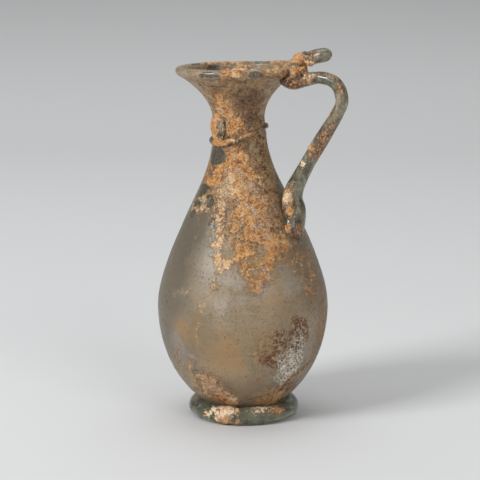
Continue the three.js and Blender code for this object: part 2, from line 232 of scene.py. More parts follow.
# Foot: the coil's outer radius and half thickness, its hidden inner radius and the flat that it stands on
FOOT_RADIUS = 27.3
FOOT_HALF = 4.15
FOOT_INNER = 17.4
FOOT_FLAT = (18.25, 22.75)

# Thread: its middle below the neck's narrowest place, its tilt, the dip at its front and its half thickness
THREAD_BELOW = 6.9
THREAD_TILT = 3.0
THREAD_TILT_TOWARDS = math.radians(30)
THREAD_DIP = 2.6
THREAD_HALF = 0.75
THREAD_SINK = 0.35

# Drop above the thread: degrees round the axis, rise above the thread, half sizes. Knob beside the handle.
DROP_AT = -113
DROP_RISE = 7.6
DROP_SIZE = (2.5, 5.1, 7.2)
KNOB_AT = (3.2, 5.0, 143.6)
KNOB_RADIUS = 1.35

# How far the pattern of the grains wanders, and the lightest crust on the body and on the applied glass
GRAIN_DRIFT = 2.2
WARM_CREAM = (0.74, 0.51, 0.3)
PALE_CREAM = (0.9, 0.7, 0.48)

# Stage, in metres: the view's turn, the camera, and the sweep's flat, bend and height
VIEW_TURN = math.radians(28)
CAMERA_AT = Vector((0.36257, -0.69755, 0.2329))
CAMERA_AIM = Vector((-0.00799, -0.00064, 0.08717))
SWEEP_NEAR = -2.5
SWEEP_FAR = 1.0
SWEEP_BEND = 1.6
SWEEP_TOP = 2.8
SWEEP_HALF_WIDTH = 3.0
LIGHTS_AIM = Vector((0, 0, 0.08))

# Lights: name, metres to the right, away and up as the camera sees it, size in metres, power in watts
LIGHTS = (
    ("key", -1.65, -1.2, 1.25, 0.8, 41.0),
    ("overhead", 0.0, 0.5, 2.2, 2.4, 25.5),
    ("front", 1.1, -1.8, 1.1, 1.2, 14.0),
)


def smooth(values, low, high):
    """A soft step from 0 at low to 1 at high."""
    share = np.clip((values - low) / (high - low), 0, 1)
    return share * share * (3 - 2 * share)


def curve(start, leave, arrive, end, steps):
    """Points after the start of a curve that leaves along one vector and arrives at its end along another."""
    return interpolate_bezier(start, start + leave, end - arrive, end, steps + 1)[1:]


def slope(degrees, length):
    """A (radius, height) step of a length at an angle above the horizontal."""
    return Vector((math.cos(math.radians(degrees)), math.sin(math.radians(degrees)))) * length


def outer_wall(fineness):
    """The outer wall from the pushed-in middle of the base to the underside of the lip's bead."""
    kick = Vector((BASE.x / 2, 0))
    under_lip = LIP + slope(MOUTH_ANGLE - 90, LIP_BEAD)
    return [
        Vector((0, BASE.y + BASE_KICK)),
        *curve(Vector((0, BASE.y + BASE_KICK)), kick, slope(BASE_ANGLE, kick.x / 2), BASE, 6 * fineness),
        *curve(BASE, slope(BASE_ANGLE, 28.2), Vector((0, 13.3)), BELLY, 30 * fineness),
        *curve(BELLY, Vector((0, 17.3)), slope(SHOULDER_ANGLE, 9.7), SHOULDER, 24 * fineness),
        *curve(SHOULDER, slope(SHOULDER_ANGLE, 15.0), Vector((0, 14.6)), NECK, 18 * fineness),
        *curve(NECK, Vector((0, 9.0)), slope(MOUTH_ANGLE, 7.3), under_lip, 15 * fineness),
    ]


def moved(line, distance_at):
    """A (radius, height) line that starts on the axis, moved inwards by a distance at each height."""
    out = []
    for i, here in enumerate(line):
        along = (line[min(i + 1, len(line) - 1)] - line[max(i - 1, 0)]).normalized()
        distance = distance_at(here.y)
        radius = 0.0 if i == 0 else max(here.x - along.y * distance, 0.0)
        out.append(Vector((radius, here.y + along.x * distance)))
    return out


def wall_at(height):
    """Thickness of the blown wall at a height."""
    if height < BELLY.y:
        return BASE_THICK + (BELLY_THICK - BASE_THICK) * float(smooth(height, BASE.y, BELLY.y * 0.6))
    return BELLY_THICK + (NECK_THICK - BELLY_THICK) * float(smooth(height, BELLY.y, NECK.y))


# The wall outside the pushed-in base, whose heights only rise
WALL_RADII, WALL_HEIGHTS = zip(*outer_wall(2)[12:])


def wall_radius(height):
    """The outer wall's radius at a height."""
    return np.interp(height, WALL_HEIGHTS, WALL_RADII)


def bent(points):
    """Places round a straight axis, leaned, pulled up at the rim and set on the vessel's axis, in metres."""
    x, y, z = points.T
    lean = -NECK_LEAN * (np.maximum(z - LEAN_START, 0) / (LIP.y - LEAN_START)) ** 1.3
    beside = (x * math.cos(RIM_PULL_ANGLE) + y * math.sin(RIM_PULL_ANGLE)) / LIP.x
    pull = RIM_PULL * np.maximum(beside, 0) ** 4 * smooth(z, NECK.y, LIP.y)
    return np.column_stack((x + lean + AXIS_X, y, z + pull)) * MM


def axis_at(height):
    """The x of the leaning axis at a height."""
    return float(bent(np.array([[0.0, 0.0, height]]))[0][0]) / MM


def places(mesh):
    """A mesh's vertices as an array."""
    out = np.empty(len(mesh.vertices) * 3)
    mesh.vertices.foreach_get("co", out)
    return out.reshape(-1, 3)


def place(mesh, points):
    """Moves a mesh's vertices."""
    mesh.vertices.foreach_set("co", points.ravel())
    mesh.update()


def normals(mesh):
    """A mesh's vertex normals as an array."""
    out = np.empty(len(mesh.vertices) * 3)
    mesh.vertex_normals.foreach_get("vector", out)
    return out.reshape(-1, 3)


def grain(points, wavelength, octaves=3, seed=0.0):
    """Cloudy noise of a wavelength in mm at places in mm, about -1 to 1."""
    shift = Vector((seed * 17.3, seed * 7.9, seed * 29.1))
    return np.array([noise.fractal(Vector(p) / wavelength + shift, 0.9, 2.1, octaves) for p in points])


def around(mesh_points):
    """Degrees from the front, radius and height of places in mm about the vessel's axis."""
    x, y, z = mesh_points.T
    degrees = np.degrees(np.arctan2(y, x)) - FRONT
    return (degrees + 180) % 360 - 180, np.hypot(x, y), z


def patch_field(chart, patches, warp=(0, 0)):
    """How far in mm each place lies inside the nearest patch, up to the patch's cap, less than 0 outside."""
    degrees, radius, height = chart
    best = np.full(len(height), -99.0)
    for at, z, wide, tall, *more in patches:
        turn, cap = more + [0, 99][len(more):]
        across = (degrees - at + 180) % 360 - 180
        dx = np.radians(across) * np.maximum(radius, 6) + warp[0]
        dz = height - z + warp[1]
        c, s = math.cos(math.radians(turn)), math.sin(math.radians(turn))
        depth = (1 - np.hypot((dx * c + dz * s) / wide, (dz * c - dx * s) / tall)) * min(wide, tall)
        best = np.maximum(best, np.minimum(depth, cap))
    return best


def line_distance(chart, line):
    """Distance in mm from each place to a line of (degrees, height) points."""
    degrees, radius, height = chart
    best = np.full(len(height), 999.0)
    for (a0, z0), (a1, z1) in zip(line, line[1:]):
        px, pz = np.radians(degrees - a0) * radius, height - z0
        qx, qz = np.radians(a1 - a0) * radius, z1 - z0
        share = np.clip((px * qx + pz * qz) / (qx * qx + qz * qz), 0, 1)
        best = np.minimum(best, np.hypot(px - share * qx, pz - share * qz))
    return best


def keep(mesh, name, values):
    """Keeps one number for each vertex, for the material to read."""
    layer = mesh.attributes.new(name, "FLOAT", "POINT")
    layer.data.foreach_set("value", np.asarray(values, dtype=np.float32))


def made(name, bm):
    """A bmesh as a mesh. The bmesh is used up."""
    mesh = bpy.data.meshes.new(name)
    bm.to_mesh(mesh)
    bm.free()
    return mesh


def shown(name, data):
    """An object of a mesh, lamp or camera, put in the scene."""
    thing = bpy.data.objects.new(name, data)
    bpy.context.scene.collection.objects.link(thing)
    return thing


def dropped(thing):
    """Removes an object and its mesh."""
    mesh = thing.data
    bpy.data.objects.remove(thing)
    bpy.data.meshes.remove(mesh)


def surfaced(mesh, material):
    """Smooths a mesh's shading and gives it its one material."""
    for polygon in mesh.polygons:
        polygon.use_smooth = True
    mesh.materials.clear()
    mesh.materials.append(material)


def finished(name, mesh, node, material):
    """Makes a mesh an object of the ewer that stands for a CAD node."""
    mesh.name = name
    surfaced(mesh, material)
    piece = shown(name, mesh)
    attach(piece, "root")
    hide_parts(node)


def spun(line, steps):
    """A closed (radius, height) line turned about the vertical, as a bmesh."""
    bm = bmesh.new()
    verts = [bm.verts.new((p.x, 0, p.y)) for p in line]
    edges = [bm.edges.new(pair) for pair in zip(verts, verts[1:])]
    if line[0].x > 0:
        edges.append(bm.edges.new((verts[-1], verts[0])))
    bmesh.ops.spin(
        bm, geom=verts + edges, cent=(0, 0, 0), axis=(0, 0, 1), angle=math.tau, steps=steps, use_merge=True
    )
    bmesh.ops.remove_doubles(bm, verts=bm.verts, dist=1e-5)
    bmesh.ops.recalc_face_normals(bm, faces=bm.faces)
    return bm


def through(points, steps):
    """Places evenly along a smooth curve through points of any size."""
    points = np.asarray(points, dtype=float)
    ends = np.vstack((2 * points[0] - points[1], points, 2 * points[-1] - points[-2]))
    out = []
    for t in np.linspace(0, len(points) - 1, steps + 1):
        i = min(int(t), len(points) - 2)
        f = t - i
        a, b, c, d = ends[i:i + 4]
        square = 2 * a - 5 * b + 4 * c - d
        cube = 3 * b - a - 3 * c + d
        out.append(0.5 * (2 * b + (c - a) * f + square * f ** 2 + cube * f ** 3))
    return np.array(out)


def rod(bm, stops, steps):
    """Adds a rod of changing oval section, on a smooth curve through stops of (x, y, z, thick, wide)."""
    def seat(stop, along):
        beside = Vector((0, 1, 0))
        along = Vector(along).normalized()
        across = along.cross(beside).normalized()
        turn = Matrix((across, beside, along)).transposed().to_4x4()
        return Matrix.Translation(Vector(stop[:3])) @ turn @ Matrix.Diagonal((*stop[3:], 1, 1))

    line = through(stops, steps)
    seats = [seat(stop, along) for stop, along in zip(line, np.gradient(line[:, :3], axis=0))]
    circle = bmesh.ops.create_circle(bm, cap_ends=True, segments=20, radius=1)["verts"]
    bmesh.ops.transform(bm, matrix=seats[0], verts=circle)
    end = circle[0].link_faces[0]
    for index, (here, there) in enumerate(zip(seats, seats[1:])):
        # the first face stays, as the rod's cap
        grown = bmesh.ops.extrude_face_region(bm, geom=[end], use_keep_orig=index == 0)["geom"]
        end = next(item for item in grown if isinstance(item, bmesh.types.BMFace))
        bmesh.ops.transform(bm, matrix=there @ here.inverted(), verts=end.verts)
    bmesh.ops.recalc_face_normals(bm, faces=bm.faces)


def with_modifiers(bm, settings):
    """A bmesh in mm as a mesh with modifiers of (type, settings) made real."""
    holder = shown("work", made("work", bm))
    for kind, values in settings:
        modifier = holder.modifiers.new(kind.title(), kind)
        for key, value in values.items():
            setattr(modifier, key, value)
    shaped = bpy.data.meshes.new_from_object(holder.evaluated_get(bpy.context.evaluated_depsgraph_get()))
    dropped(holder)
    return shaped


def body_room(sunk):
    """The room that the body takes, its mouth closed, less a depth that applied glass sinks into it."""
    outside = moved(outer_wall(1), lambda z: sunk)[:-1]
    outside[0] = Vector((0, outside[0].y))
    bead = [LIP + slope(a, LIP_BEAD - sunk) for a in np.linspace(MOUTH_ANGLE - 90, 90, 9)]
    mesh = made("room", spun([*outside, *bead, Vector((0, LIP.y + LIP_BEAD - sunk))], 96))
    place(mesh, bent(places(mesh)) / MM)
    return shown("room", mesh)


def applied(bm, voxel, sunk, smoothing):
    """Applied glass as one even skin, cut back to the body's outside less a small depth."""
    room = body_room(sunk)
    skin = {"mode": "VOXEL", "voxel_size": voxel}
    shaped = with_modifiers(bm, [
        ("REMESH", skin),
        ("BOOLEAN", {"operation": "DIFFERENCE", "object": room, "solver": "EXACT"}),
        ("REMESH", skin),
    ])
    dropped(room)
    bm = bmesh.new()
    bm.from_mesh(shaped)
    for _ in range(smoothing):
        bmesh.ops.smooth_vert(
            bm, verts=bm.verts, factor=0.5, use_axis_x=True, use_axis_y=True, use_axis_z=True
        )
    bm.to_mesh(shaped)
    bm.free()
    shaped.update()
    return shaped


class Socket:
    """A node's output. Arithmetic on it adds Math nodes."""

    def __init__(self, finish, link):
        self.finish = finish
        self.link = link

    def math(self, operation, *values):
        return self.finish.node("ShaderNodeMath", {"operation": operation}, dict(enumerate(values)))

    def __add__(self, other):
        return self.math("ADD", self, other)

    def __sub__(self, other):
        return self.math("SUBTRACT", self, other)

    def __rsub__(self, other):
        return self.math("SUBTRACT", other, self)

    def __mul__(self, other):
        return self.math("MULTIPLY", self, other)

    def max(self, other):
        return self.math("MAXIMUM", self, other)

    def step(self, low, high):
        """A soft step from 0 at low to 1 at high."""
        settings = {"interpolation_type": "SMOOTHSTEP"}
        values = {"Value": self, "From Min": low, "From Max": high}
        return self.finish.node("ShaderNodeMapRange", settings, values)

    __radd__ = __add__
    __rmul__ = __mul__


class Finish:
    """A material while its nodes are laid out."""

    def __init__(self, name):
        self.material = bpy.data.materials.new(name)
        self.material.use_nodes = True
        self.tree = self.material.node_tree
        self.tree.nodes.clear()
        self.coords = self.node("ShaderNodeTexCoord", output="Object")
        noise_values = {"Vector": self.coords, "Scale": 650.0, "Detail": 1.0}
        drift = self.node("ShaderNodeTexNoise", None, noise_values, "Color")
        settings = {"operation": "MULTIPLY_ADD"}
        reach = (GRAIN_DRIFT * MM,) * 3
        self.warped = self.node("ShaderNodeVectorMath", settings, {0: drift, 1: reach, 2: self.coords})

    def node(self, kind, settings=None, values=None, output=0):
        """Adds a node: its settings are set first, then the values or links of its sockets."""
        node = self.tree.nodes.new(kind)
        for key, value in (settings or {}).items():
            if key == "stops":
                while len(node.color_ramp.elements) < len(value):
                    node.color_ramp.elements.new(1.0)
                for element, (position, colour) in zip(node.color_ramp.elements, value):
                    element.position = position
                    element.color = (*colour, 1.0)
            else:
                setattr(node, key, value)
        inputs = {socket.identifier: socket for socket in node.inputs}
        for key, value in (values or {}).items():
            socket = node.inputs[key] if isinstance(key, int) else inputs.get(key) or node.inputs[key]
            if isinstance(value, Socket):
                self.tree.links.new(value.link, socket)
            elif isinstance(value, tuple) and len(value) == 3 and socket.type == "RGBA":
                socket.default_value = (*value, 1.0)
            else:
                socket.default_value = value
        if not node.outputs:
            return None
        outputs = {socket.identifier: socket for socket in node.outputs}
        found = outputs.get(output)
        return Socket(self, found or node.outputs[output])

    def mix(self, factor, a, b):
        """Colour b over colour a by a factor."""
        values = {"Factor_Float": factor, "A_Color": a, "B_Color": b}
        return self.node("ShaderNodeMix", {"data_type": "RGBA"}, values, "Result_Color")

    def cloud(self, wavelength, detail=3.0, roughness=0.55, warp=0.0):
        """Noise of a wavelength in mm, 0 to 1."""
        scale = 1 / (wavelength * MM)
        values = {"Vector": self.coords, "Scale": scale, "Detail": detail, "Roughness": roughness}
        return self.node("ShaderNodeTexNoise", None, {**values, "Distortion": warp})

    def streaks(self, squash, scale, detail, roughness):
        """Noise, 0 to 1, in flat bands for a squash over 1 and in upright streaks for one under 1."""
        along = self.node("ShaderNodeMapping", None, {"Vector": self.coords, "Scale": (1.0, 1.0, squash)})
        values = {"Vector": along, "Scale": scale, "Detail": detail, "Roughness": roughness}
        return self.node("ShaderNodeTexNoise", None, values)

    def cells(self, size, feature="F1", output="Distance"):
        """Distance from the middles, or the edges, of irregular cells of a size in mm."""
        values = {"Vector": self.warped, "Scale": 1 / (size * MM)}
        return self.node("ShaderNodeTexVoronoi", {"feature": feature}, values, output)

    def grains(self, size):
        """A tone for each of the irregular grains of a size in mm, about 0.2 to 0.8."""
        return self.cells(size, output="Color")

    def ramp(self, value, *stops):
        """A colour picked from stops by a value."""
        return self.node("ShaderNodeValToRGB", {"stops": stops}, {0: value})

    def kept(self, name):
        """A number kept for each vertex."""
        return self.node("ShaderNodeAttribute", {"attribute_name": name}, None, "Fac")

    def frayed(self, name, ragged, low, high):
        """A number kept for each vertex, made a finish of 0 to 1 with a ragged edge."""
        return (self.kept(name) + ragged).step(low, high)

    def surface(self, colour, roughness, height, depth, **values):
        """A Principled surface with a bump of a depth in mm."""
        bump = self.node("ShaderNodeBump", None, {"Height": height, "Distance": depth * MM})
        values.update({"Base Color": colour, "Roughness": roughness, "Normal": bump})
        return self.node("ShaderNodeBsdfPrincipled", None, values)

    def covered(self, factor, glass, cover):
        """An opaque cover over glass by a factor."""
        return self.node("ShaderNodeMixShader", None, {0: factor, 1: glass, 2: cover})

    def done(self, surface):
        """Closes the material with its surface."""
        self.node("ShaderNodeOutputMaterial", None, {"Surface": surface})
        return self.material


def crust_colour(f, cream, grey, light):
    """Granular ochre crust, paler where there is cream and duller where there is grey."""
    coarse = f.cloud(7.0, 3.0, 0.6, 0.6)
    blotch = f.cloud(2.8, 4.0, 0.7, 0.4)
    patchy = f.cloud(4.4, 5.0, 0.78, 0.8)
    tone = blotch * 0.45 + f.grains(1.1) * 0.22 + f.grains(0.55) * 0.33
    ochre = f.ramp(
        tone, (0.34, (0.24, 0.1, 0.036)), (0.43, (0.43, 0.19, 0.062)), (0.5, (0.56, 0.275, 0.095)),
        (0.57, (0.61, 0.325, 0.125)), (0.67, (0.66, 0.42, 0.21)),
    )
    red = f.ramp(tone, (0.36, (0.18, 0.07, 0.03)), (0.48, (0.36, 0.15, 0.058)), (0.62, (0.5, 0.28, 0.14)))
    dull = f.ramp(tone, (0.36, (0.2, 0.15, 0.11)), (0.48, (0.33, 0.25, 0.18)), (0.64, (0.5, 0.41, 0.31)))
    pale = f.ramp(tone, (0.36, (0.44, 0.25, 0.13)), (0.47, tuple(c * 0.86 for c in light)), (0.6, light))
    colour = f.mix((patchy * 0.75 + coarse * 0.25).step(0.51, 0.6) * 0.85, ochre, red)
    colour = f.mix(((coarse * 0.4 + blotch * 0.6).step(0.52, 0.59) * 0.75).max(grey), colour, dull)
    return f.mix(cream, colour, pale)


def body_finish():
    """Frosted olive glass with ochre crust, stains, pits and lacy film, painted shade at its edges, base and
    back, and a painted warm glow in its belly.
    """
    f = Finish("weathered_body_glass")
    broad = f.cloud(20.0, 4.0, 0.6, 0.4)
    mottle = f.cloud(4.0, 4.0, 0.65, 0.5)
    fine = f.cloud(0.9, 3.0, 0.75)
    grains = f.grains(0.8)
    ragged = (fine - 0.5) * 2.2 + (mottle - 0.5) * 1.5
    crust = f.frayed("crust", ragged + (grains - 0.5) * 0.6, 0.36, 0.64)
    cream = f.frayed("cream", ragged, 0.35, 0.9)
    bare = f.frayed("bare", ragged * 0.55, 0.4, 0.6)
    haze = f.frayed("haze", ragged * 0.6, 0.25, 0.95)
    plum = f.frayed("plum", ragged * 0.9 + (grains - 0.5) * 1.2, 0.35, 0.95)
    rust = f.frayed("rust", ragged * 0.4, 0.35, 0.7)
    film = f.frayed("film", ragged * 0.7, 0.15, 0.9) * (1.0 - bare)
    pit_field = f.frayed("pits", ragged * 0.5, 0.3, 0.6)
    lace_field = f.frayed("lace", ragged * 0.5, 0.3, 0.7)
    soft = (mottle - 0.5) * 0.5 + (broad - 0.5) * 1.3 + (fine - 0.5) * 0.3
    # Painted warm glow of light through the belly, together with the scar's real brown halo
    amber = f.frayed("amber", soft, 0.0, 1.25)

    bands = f.streaks(3.2, 170.0, 4.0, 0.65)
    glass = f.ramp(
        broad * 0.35 + mottle * 0.25 + bands * 0.2 + grains * 0.2,
        (0.38, (0.47, 0.355, 0.21)), (0.5, (0.73, 0.605, 0.43)), (0.62, (0.84, 0.74, 0.57)),
    )
    # Colour of the painted glow and of the scar's brown halo
    glow_and_halo_colour = f.mix(broad.step(0.42, 0.6), (0.66, 0.43, 0.21), (0.78, 0.45, 0.16))
    haze_colour = f.ramp(grains, (0.3, (0.46, 0.42, 0.385)), (0.7, (0.57, 0.525, 0.49)))
    bare_colour = f.ramp(grains, (0.3, (0.13, 0.125, 0.09)), (0.7, (0.24, 0.23, 0.17)))
    plum_colour = f.ramp(grains, (0.35, (0.035, 0.014, 0.008)), (0.65, (0.21, 0.12, 0.078)))
    patchy = f.cloud(5.0, 5.0, 0.75, 0.8)
    slate = f.cloud(4.5, 4.0, 0.75, 1.0)
    film_colour = f.ramp(
        bands * 0.22 + patchy * 0.58 + grains * 0.2,
        (0.37, (0.045, 0.018, 0.008)), (0.45, (0.17, 0.08, 0.03)), (0.5, (0.37, 0.195, 0.075)),
        (0.54, (0.45, 0.275, 0.12)), (0.59, (0.38, 0.295, 0.165)), (0.67, (0.55, 0.46, 0.32)),
    )
    slate_share = (slate * 0.85 + grains * 0.15).step(0.53, 0.62) * 0.6
    film_colour = f.mix(slate_share, film_colour, (0.3, 0.275, 0.205))
    # Painted shade: dull olive-grey over the glass where the painted shade is kept
    glass = f.mix(f.kept("smoke") * 0.85, glass, (0.26, 0.235, 0.18))
    glass = f.mix(amber * 0.85, glass, glow_and_halo_colour)
    glass = f.mix(haze * 0.5, glass, haze_colour)
    glass = f.mix(film * 0.9, glass, film_colour)
    glass = f.mix(bare * 0.9, glass, bare_colour)
    glass = f.mix(plum * 0.9, glass, plum_colour)

    pit = (f.cells(1.5) * -1.0 + fine * 1.7 - 0.2).step(0.0, 0.16) * pit_field
    edges = f.cells(2.1, "DISTANCE_TO_EDGE")
    lace = (edges * -4.0 + 0.7 + (fine - 0.5) * 1.4).step(0.1, 0.5) * lace_field
    pit_ground = f.ramp(grains, (0.35, (0.36, 0.245, 0.15)), (0.65, (0.64, 0.5, 0.35)))
    lace_ground = f.ramp(grains, (0.35, (0.2, 0.15, 0.1)), (0.65, (0.38, 0.32, 0.24)))
    pit_colour = f.ramp(fine, (0.4, (0.05, 0.018, 0.007)), (0.62, (0.27, 0.11, 0.04)))
    rust_colour = f.ramp(
        grains, (0.3, (0.1, 0.032, 0.01)), (0.55, (0.3, 0.11, 0.032)), (0.72, (0.55, 0.26, 0.1))
    )
    cover_colour = crust_colour(f, cream, haze * 0.5 + plum * 0.3, WARM_CREAM)
    cover_colour = f.mix(pit_field, cover_colour, pit_ground)
    cover_colour = f.mix(lace_field, cover_colour, lace_ground)
    cover_colour = f.mix(lace, cover_colour, (0.78, 0.72, 0.6))
    cover_colour = f.mix(pit * (1.0 - lace * 0.8), cover_colour, pit_colour)
    cover_colour = f.mix(rust, cover_colour, rust_colour)

    speck = (f.cells(2.6) * -1.0 + mottle * 1.6 - 0.74).step(0.0, 0.16)
    flecks = (cream * (fine + 0.1)).step(0.35, 0.55) * 0.8
    pitted = (pit * 0.95).max(pit_field * 0.55)
    laced = (lace * 0.95).max(lace_field * 0.5)
    cover = crust.max(pitted).max(laced).max(rust * 0.9).max(flecks)
    opaque = cover.max(plum * 0.8).max(haze * 0.35).max(film * 0.85).max(0.17)
    colour = f.mix(cover, glass, cover_colour)
    colour = f.mix(speck * 0.3, colour, (0.09, 0.05, 0.03))
    height = crust * 0.5 + crust * grains * 0.6 - pit * 0.8 + lace * 0.3 + fine * 0.12
    rough = 0.34 + haze * 0.12 + mottle * 0.12 - bare * 0.2
    clear = f.surface(colour, rough, height, 0.25, **{"Transmission Weight": 0.85, "IOR": 1.5})
    dull = f.surface(colour, 0.5 + crust * 0.35, height, 0.4, **{"Specular IOR Level": 0.25})
    return f.done(f.covered(opaque, clear, dull))


def applied_finish(name, tint, deep, clearness, roughness, film_colour, film_share):
    """Glossy applied glass, deep in places and filmed in others, with crust and stain where they are kept,
    and on the thread painted shade and a painted highlight.
    """
    f = Finish(name)
    broad = f.cloud(11.0, 3.0, 0.5, 0.3)
    mottle = f.cloud(3.2, 3.0, 0.55, 0.2)
    fine = f.cloud(0.8, 3.0, 0.75)
    grains = f.grains(0.8)
    streak = f.streaks(0.4, 420.0, 3.0, 0.7)
    ragged = (fine - 0.5) * 1.8 + (mottle - 0.5) * 1.2
    crust = f.frayed("crust", ragged, 0.42, 0.62)
    cream = f.frayed("cream", ragged, 0.35, 0.9)
    stain = f.frayed("stain", ragged, 0.35, 0.8)
    glass = f.mix((broad * 0.6 + streak * 0.4).step(0.38, 0.62), deep, tint)
    film = (broad * 0.25 + streak * 0.45 + fine * 0.3).step(0.48, 0.62)
    glass = f.mix(film * film_share, glass, film_colour)
    stain_and_shade_colour = f.ramp(
        grains, (0.32, (0.09, 0.032, 0.012)), (0.5, (0.27, 0.11, 0.04)), (0.7, (0.5, 0.27, 0.12))
    )
    # Stain over the glass, with painted shade under the thread
    glass = f.mix(stain * 0.9, glass, stain_and_shade_colour)
    colour = f.mix(crust, glass, crust_colour(f, cream, 0.0, PALE_CREAM))
    height = crust * 0.5 + crust * grains * 0.6 + fine * 0.04
    clear_values = {"Transmission Weight": clearness, "IOR": 1.5}
    clear = f.surface(colour, roughness + film * 0.2, height, 0.2, **clear_values)
    dull = f.surface(colour, 0.35 + crust * 0.45, height, 0.4)
    opaque = crust.max(stain * 0.7).max(film * film_share).max(0.08)
    return f.done(f.covered(opaque, clear, dull))


class EwerBodySettings(bpy.types.PropertyGroup):
    """Sizes of the blown body."""

    round_steps: bpy.props.IntProperty(
        name="Round steps", description="Faces round the body", default=250, min=24
    )
    crust_depth: bpy.props.FloatProperty(
        name="Crust depth", description="How proud the crust stands", default=0.00035, unit="LENGTH"
    )
    pit_depth: bpy.props.FloatProperty(
        name="Pit depth", description="How deep the pits are", default=0.0003, unit="LENGTH"
    )


class EwerAppliedSettings(bpy.types.PropertyGroup):
    """Sizes and colours of the foot, thread and handle."""

    skin: bpy.props.FloatProperty(
        name="Skin", description="Size of the faces of applied glass", default=0.0004, unit="LENGTH"
    )
    crust_depth: bpy.props.FloatProperty(
        name="Crust depth", description="How proud the crust stands", default=0.0006, unit="LENGTH"
    )
    foot_tint: bpy.props.FloatVectorProperty(
        name="Foot tint", description="Colour of the foot's glass", subtype="COLOR",
        default=(0.80, 0.82, 0.62),
    )
    handle_tint: bpy.props.FloatVectorProperty(
        name="Handle tint", description="Colour of the handle's glass", subtype="COLOR",
        default=(0.37, 0.345, 0.25),
    )


class EwerStageSettings(bpy.types.PropertyGroup):
    """The floor, the light and the camera."""

    floor_colour: bpy.props.FloatVectorProperty(
        name="Floor colour", description="Colour of the floor", subtype="COLOR", default=(0.72, 0.725, 0.73)
    )
    lens: bpy.props.FloatProperty(
        name="Lens", description="Focal length of the camera", default=122.6, subtype="DISTANCE_CAMERA"
    )


def body_marks(straight, crust_depth, pit_depth):
    """The body's finishes, painted shade and painted glow, 0 to 1 for each place before it is bent, and its
    relief in metres.
    """
    chart = around(straight)
    radius, height = chart[1:]
    outside = smooth(radius - wall_radius(height), -1.4, -0.5)
    by_lip = height > LIP.y - 1
    outside[by_lip] = smooth(radius[by_lip], 24.5, 26.5)
    wander = grain(straight, 9.0, 3, 1)
    wobble = grain(straight, 3.2, 3, 2)
    shiver = grain(straight, 1.3, 2, 3)
    warp = (wander * 1.5 + wobble * 1.0, grain(straight, 7.0, 3, 4) * 1.5 + shiver * 0.6)
    soft_warp = (wander * 3.0, wobble * 2.0)

    def cover(patches, blur=1.6, by=warp, where=outside):
        return np.clip(0.5 + patch_field(chart, patches, by) / blur / 2, 0, 1) * where

    bare = cover(BARE, 1.0)
    crust = np.maximum(cover(CRUST, 2.4), 0.49 * cover(THIN_CRUST, 4.0))
    crust = np.minimum(crust, 1 - np.maximum(cover(GAPS, 1.2), bare))

    inside_mouth = (1 - outside) * smooth(height, 150, 162)
    mouth_dark = cover(MOUTH_DARK, 1.0, where=inside_mouth)
    mouth_pale = cover(MOUTH_PALE, 1.5, where=inside_mouth)
    mouth_red = cover(MOUTH_RED, 1.5, where=inside_mouth)
    mouth_crust = inside_mouth * np.clip(0.75 + wander * 0.5 + wobble * 0.4, 0, 1) * (1 - mouth_dark)
    crust = np.maximum(crust, mouth_crust)

    on_lip = smooth(height, LIP.y - 2.8, LIP.y + 0.3) * smooth(radius, 24.5, 26.5)
    lip_gaps = on_lip * smooth(patch_field(chart, LIP_GAPS), -0.3, 0.6)
    lip_crust = np.clip(0.5 + patch_field(chart, LIP_CRUST, warp) / 3, 0, 0.8)
    crust = np.where(on_lip > 0, np.minimum(crust, 1 - on_lip * (1 - lip_crust)), crust)
    crust = np.maximum(crust, on_lip * lip_crust) * (1 - lip_gaps)

    crack = np.exp(-((line_distance(chart, CRACK) + wobble * 0.4) ** 2) / 2.0) * outside
    scar = np.exp(-((line_distance(chart, SCAR) + wobble * 0.4) ** 2) / 0.9) * outside
    halo = np.exp(-((line_distance(chart, SCAR) + wobble) ** 2) / 22.0) * outside
    pits = cover(PITS)
    marks = {
        "crust": crust,
        "cream": np.maximum.reduce((cover(CREAM), scar * 0.66, mouth_crust * 0.85, on_lip * lip_crust * 0.5)),
        "bare": np.maximum.reduce((bare, lip_gaps, mouth_dark)),
        # painted glow, and the real brown halo round the scar
        "amber": np.maximum(cover(PAINTED_GLOW, 8.0, soft_warp), halo),
        "haze": np.maximum.reduce((cover(HAZE, 3.5, soft_warp) * 0.9, cover(LILAC, 0.9), mouth_pale)),
        "plum": cover(PLUM, 3.5, soft_warp),
        # painted shade at the edges, base and back
        "smoke": cover(PAINTED_SHADE, 9.0, soft_warp),
        "pits": pits,
        "lace": cover(LACE, 3.0),
        "rust": np.maximum.reduce((cover(RUST, 2.0), crack, mouth_red * 0.6)),
        "film": cover(FILM, 4.0, soft_warp),
    }

    thick = smooth(crust + shiver * 0.25, 0.35, 0.75)
    relief = thick * (0.6 + 0.4 * np.clip(shiver * 1.5 + wobble * 0.5, -1, 1)) * crust_depth
    relief += (scar * 0.12 - crack * 0.2) * MM
    relief -= smooth(pits, 0.3, 0.7) * np.clip(shiver * 1.4 + 0.3, 0, 1) * pit_depth
    relief += (wander * 0.10 + wobble * 0.03) * MM * outside
    return marks, relief


class EWER_OT_blown_body(bpy.types.Operator):
    """Builds the blown body with its crust, stains and pits"""

    bl_idname = "ewer.blown_body"
    bl_label = "Blown Body"

    def execute(self, context):
        settings = context.scene.ewer_body
        wall = outer_wall(3)
        bead = [LIP + slope(a, LIP_BEAD) for a in np.linspace(MOUTH_ANGLE - 90, 198, 15)]
        inner = [p for p in moved(outer_wall(1), wall_at) if p.y < bead[-1].y - 0.6]
        bm = spun([*wall, *bead[1:], *reversed(inner)], settings.round_steps)
        mesh = made("blown_body_glass", bm)
        straight = places(mesh)
        marks, relief = body_marks(straight, settings.crust_depth, settings.pit_depth)
        for name, values in marks.items():
            keep(mesh, name, values)
        place(mesh, bent(straight))
        place(mesh, places(mesh) + normals(mesh) * relief[:, None])
        finished("blown_body_glass", mesh, "blown_body", body_finish())
        return {"FINISHED"}


